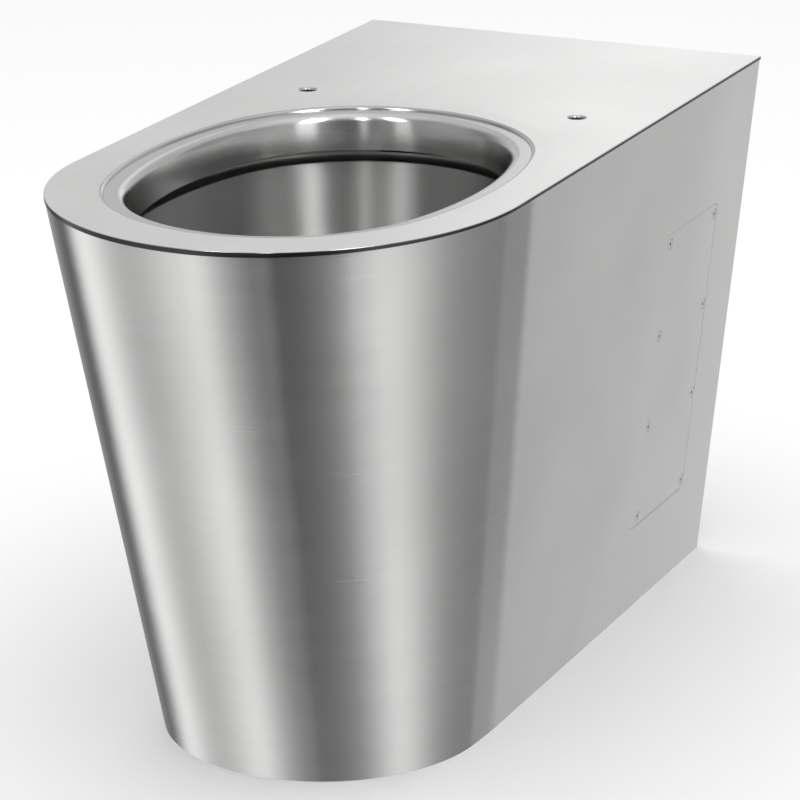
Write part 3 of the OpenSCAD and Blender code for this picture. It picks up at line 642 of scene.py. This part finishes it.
def turned_steel(name, tint, roughness, cloud_mm, cloud=0.12):
    """Turned or rolled steel without a grain: only soft mottling in tint and gloss, by a noise
    with spots cloud_mm across."""
    m = bpy.data.materials.new(name)
    m.use_nodes = True
    t = m.node_tree
    t.nodes.clear()
    place = add_node(t, "ShaderNodeTexCoord")
    mottle = add_node(t, "ShaderNodeTexNoise", {"Scale": 1000 / cloud_mm, "Detail": 5.0,
                                                "Roughness": 0.6},
                      {"Vector": place.outputs["Object"]})
    tone = add_node(t, "ShaderNodeMapRange", {"From Min": 0.3, "From Max": 0.7,
                                              "To Min": 1 - cloud, "To Max": 1 + cloud},
                    {"Value": mottle.outputs["Fac"]})
    colour = add_node(t, "ShaderNodeVectorMath", {"operation": "SCALE", 0: linear(tint)},
                      {"Scale": tone.outputs[0]})
    rough = add_node(t, "ShaderNodeMapRange", {"From Min": 0.3, "From Max": 0.7,
                                               "To Min": roughness * 0.8,
                                               "To Max": roughness * 1.25},
                     {"Value": mottle.outputs["Fac"]})
    bump = add_node(t, "ShaderNodeBump", {"Strength": 0.6, "Distance": 0.02 * MM},
                    {"Height": mottle.outputs["Fac"]})
    shader = add_node(t, "ShaderNodeBsdfPrincipled", {"Metallic": 1.0},
                      {"Base Color": colour.outputs[0], "Roughness": rough.outputs[0],
                       "Normal": bump.outputs[0]})
    add_node(t, "ShaderNodeOutputMaterial", links={"Surface": shader.outputs[0]})
    return m


# A bright turned head, and a rougher recess where the punch has been, its tint darkened as painted
# shade.
bright_screw = turned_steel("bright_screw_steel", "#c4c4c3", roughness=0.2, cloud_mm=2.0)
recess_steel = turned_steel("screw_recess_painted_shade", "#6f6f6e", roughness=0.4, cloud_mm=1.0)
for side, name in SIDES:
    patches = [p for y, s in SCREWS for p in screw_patches(y, s, side)]
    screws = build(f"security_screws_{name}", patches, [bright_screw, recess_steel])
    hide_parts(f"panel_screws_{name}")

# Inner sheet, bar and tube. The foot's flat bar, brackets, brace, saddle, frames, seat plates,
# manifold and channel are cut and folded from pickled sheet, and the trap and pipes are welded
# tube. The frame's own solids are right, and get their steel here.

# Pickling leaves a dull grey bloom. Welded tube has a soft shine, and turned inserts a finer one.
pickled_sheet = turned_steel("pickled_sheet_steel", "#9f9e9b", roughness=0.42, cloud_mm=14.0)
bright_tube = turned_steel("bright_tube_steel", "#b4b3b0", roughness=0.28, cloud_mm=22.0,
                           cloud=0.08)
insert_steel = turned_steel("insert_steel", "#a7a6a2", roughness=0.3, cloud_mm=3.0)
INNER = {
    pickled_sheet: ("rim_channel", "rim_floor", "flush_manifold", "foot_flange", "rear_brace",
                    "outlet_saddle", "floor_bracket_right", "floor_bracket_left",
                    "panel_frame_right", "panel_frame_left", "seat_plate_right",
                    "seat_plate_left"),
    bright_tube: ("inlet_pipe", "trap_leg", "trap_bend", "outlet_elbow", "outlet_spigot"),
    insert_steel: ("threaded_inserts_right", "threaded_inserts_left"),
}
for material, nodes in INNER.items():
    for name in nodes:
        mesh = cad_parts[name].data
        mesh.materials.clear()
        mesh.materials.append(material)

# Inlet sleeve. A moulded sleeve of black EPDM rubber, pushed into the end of the inlet, so that
# the flush pipe seals in it. Dull, with the faint bloom that such rubber gets.
rubber = bpy.data.materials.new("epdm_rubber")
rubber.use_nodes = True
tree = rubber.node_tree
tree.nodes.clear()
spot = add_node(tree, "ShaderNodeTexCoord")
bloom = add_node(tree, "ShaderNodeTexNoise", {"Scale": 120.0, "Detail": 4.0},
                 {"Vector": spot.outputs["Object"]})
shade = add_node(tree, "ShaderNodeMapRange", {"To Min": 0.35, "To Max": 1.3},
                 {"Value": bloom.outputs["Fac"]})
tint = add_node(tree, "ShaderNodeVectorMath", {"operation": "SCALE", 0: linear("#2b2b2c")},
                {"Scale": shade.outputs[0]})
grain = add_node(tree, "ShaderNodeBump", {"Strength": 0.3, "Distance": 0.1 * MM},
                 {"Height": bloom.outputs["Fac"]})
skin = add_node(tree, "ShaderNodeBsdfPrincipled", {"Roughness": 0.62, "IOR": 1.52},
                {"Base Color": tint.outputs[0], "Normal": grain.outputs[0]})
add_node(tree, "ShaderNodeOutputMaterial", links={"Surface": skin.outputs[0]})
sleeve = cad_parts["inlet_sleeve"].data
sleeve.materials.clear()
sleeve.materials.append(rubber)

# Camera. The photograph's own viewpoint, found from the pan's straight edges and its foot: in
# front and to the right, looking down, with a long lens.
CAMERA_AT = (1258.257, -2612.845, 1194.666)
CAMERA_RIGHT = (0.90374789, 0.42791796, -0.01122359)
CAMERA_UP = (-0.12605968, 0.29110731, 0.94834882)
CAMERA_BACK = (0.40908277, -0.85565340, 0.31703082)
LENS, SENSOR = 172.953, 36.0
lens = bpy.data.cameras.new("camera")
lens.lens, lens.sensor_width = LENS, SENSOR
lens.clip_end = 50
camera = bpy.data.objects.new("camera", lens)
bpy.context.scene.collection.objects.link(camera)
turn = np.eye(4)
turn[:3] = np.column_stack([CAMERA_RIGHT, CAMERA_UP, CAMERA_BACK, np.array(CAMERA_AT) * MM])
camera.matrix_world = Matrix(turn.tolist())
bpy.context.scene.camera = camera

# Studio. A plain pale floor, a white surround, and a dome of soft boxes and dark flags that only
# the steel sees: the satin cone draws its levels out into upright bands, and three upright strip
# lights stand in the bowl as stripes.
# The dome's rows from below to the crown, as radius and height in metres: two for each of the four
# levels in BANDS, and one for the crown.
DOME = ((1.9, -3.0), (1.9, -0.3), (1.9, 0.5), (1.9, 1.5), (1.9, 2.2), (1.9, 3.0), (1.2, 3.0),
        (0.5, 3.0), (0.01, 3.0))
# An azimuth in degrees, and the levels there below the deck, beside it, above and overhead.
BANDS = (
    (-180, 2.2, 0.3, 0.65, 0.9), (-172, 1.7, 0.3, 0.65, 0.9), (-158, 0.8, 0.45, 0.55, 0.9),
    (-148, 0.55, 0.45, 0.5, 0.85), (-135, 0.8, 0.5, 0.4, 0.85), (-120, 1.25, 0.45, 0.4, 0.85),
    (-110, 1.25, 0.35, 0.3, 0.9), (-98, 0.65, 0.3, 0.3, 0.9), (-86, 0.3, 0.3, 0.3, 0.9),
    (-70, 0.0, 0.1, 0.4, 0.95), (-55, 0.1, 0.15, 0.5, 0.95), (-40, 0.25, 0.3, 0.6, 1.0),
    (-28, 0.55, 0.4, 0.7, 1.0), (-14, 1.25, 0.6, 0.8, 1.05), (0, 0.95, 0.5, 0.8, 1.05),
    (15, 0.5, 0.45, 0.85, 1.05), (30, 0.35, 0.45, 0.85, 1.05), (45, 0.3, 0.4, 0.85, 1.05),
    (53, 0.1, 0.35, 0.8, 1.05), (57, 0.0, 0.5, 0.8, 1.05), (59, 1.5, 0.7, 0.8, 1.05),
    (60.8, 1.2, 0.7, 0.75, 1.05), (62.3, 0.1, 0.6, 0.75, 1.05), (64.5, 0.15, 0.6, 0.75, 1.05),
    (66.5, 0.6, 0.6, 0.75, 1.05), (68.5, 0.9, 0.65, 0.75, 1.05), (76, 0.9, 0.65, 0.75, 1.05),
    (90, 0.85, 0.7, 0.75, 1.0), (105, 0.65, 1.2, 0.8, 1.0), (118, 0.55, 0.65, 0.8, 1.0),
    (132, 0.45, 0.75, 0.85, 0.95), (150, 0.3, 0.65, 0.8, 0.95), (166, 0.05, 0.4, 0.8, 0.9),
    (173, 0.1, 0.35, 0.75, 0.9), (177, 1.2, 0.35, 0.7, 0.9), (180, 2.2, 0.3, 0.65, 0.9))
CROWN = 1.5
# A strip light's azimuth, half width and level above the deck. Beside it, only a share shows.
STRIPS = ((-29, 8, 13.0), (-72.5, 2.5, 10.0), (-102, 6, 9.0))
STRIP_SHARE = 0.08
floor_mesh = bpy.data.meshes.new("floor")
floor_mesh.from_pydata([(x, y, 0) for x, y in ((-6, -6), (6, -6), (6, 6), (-6, 6))], [],
                       [(0, 1, 2, 3)])
floor = bpy.data.objects.new("floor", floor_mesh)
bpy.context.scene.collection.objects.link(floor)
paper = bpy.data.materials.new("white_paper")
paper.use_nodes = True
tree = paper.node_tree
tree.nodes.clear()
matt = add_node(tree, "ShaderNodeBsdfDiffuse", {"Color": (0.9, 0.9, 0.9, 1)})
add_node(tree, "ShaderNodeOutputMaterial", links={"Surface": matt.outputs[0]})
floor_mesh.materials.append(paper)
floor.visible_glossy = False

studio_mesh = bpy.data.meshes.new("studio_dome")
a = np.radians(np.linspace(-180, 180, 361))
dome = np.stack([np.stack([r * np.cos(a), r * np.sin(a), np.full_like(a, z)], 1)
                 for r, z in DOME])
points, quads, _, _ = grid_patch(dome, dome[..., :2])
studio_mesh.from_pydata(points.tolist(), [], quads.tolist())
azimuth, *levels = np.array(BANDS).T
low, mid, high, top = (np.interp(np.degrees(a), azimuth, level) for level in levels)
for place, half, strength in STRIPS:
    strip = strength * np.clip(half + 0.5 - np.abs(np.degrees(a) - place), 0, 1)
    mid, high = mid + STRIP_SHARE * strip, high + strip
glow = studio_mesh.attributes.new("glow", "FLOAT", "POINT")
glow.data.foreach_set("value", np.concatenate(
    [low, low, mid, mid, high, high, top, top, np.full_like(a, CROWN)]).astype(np.float32))
studio = bpy.data.objects.new("studio_dome", studio_mesh)
bpy.context.scene.collection.objects.link(studio)
boxes = bpy.data.materials.new("soft_boxes")
boxes.use_nodes = True
tree = boxes.node_tree
tree.nodes.clear()
level = add_node(tree, "ShaderNodeAttribute", {"attribute_name": "glow"})
shine = add_node(tree, "ShaderNodeEmission", {"Color": (1, 1, 1, 1)},
                 {"Strength": level.outputs["Fac"]})
add_node(tree, "ShaderNodeOutputMaterial", links={"Surface": shine.outputs[0]})
studio_mesh.materials.append(boxes)
for ray in ("camera", "diffuse", "shadow", "transmission", "volume_scatter"):
    setattr(studio, f"visible_{ray}", False)

world = bpy.data.worlds.new("studio")
bpy.context.scene.world = world
world.use_nodes = True
tree = world.node_tree
tree.nodes.clear()
surround = add_node(tree, "ShaderNodeBackground", {"Color": (1, 1, 1, 1), "Strength": 1.0})
add_node(tree, "ShaderNodeOutputWorld", links={"Surface": surround.outputs[0]})

# A wide soft box overhead, for what is matt: the floor with its shadow, and the rubber.
lamp = bpy.data.lights.new("overhead_box", "AREA")
lamp.shape, lamp.size, lamp.size_y, lamp.energy = "RECTANGLE", 2.0, 2.0, 14.0
overhead = bpy.data.objects.new("overhead_box", lamp)
overhead.visible_glossy = False
overhead.location = (0, 0, 2.4)
bpy.context.scene.collection.objects.link(overhead)

bpy.context.scene.view_settings.view_transform = "Standard"
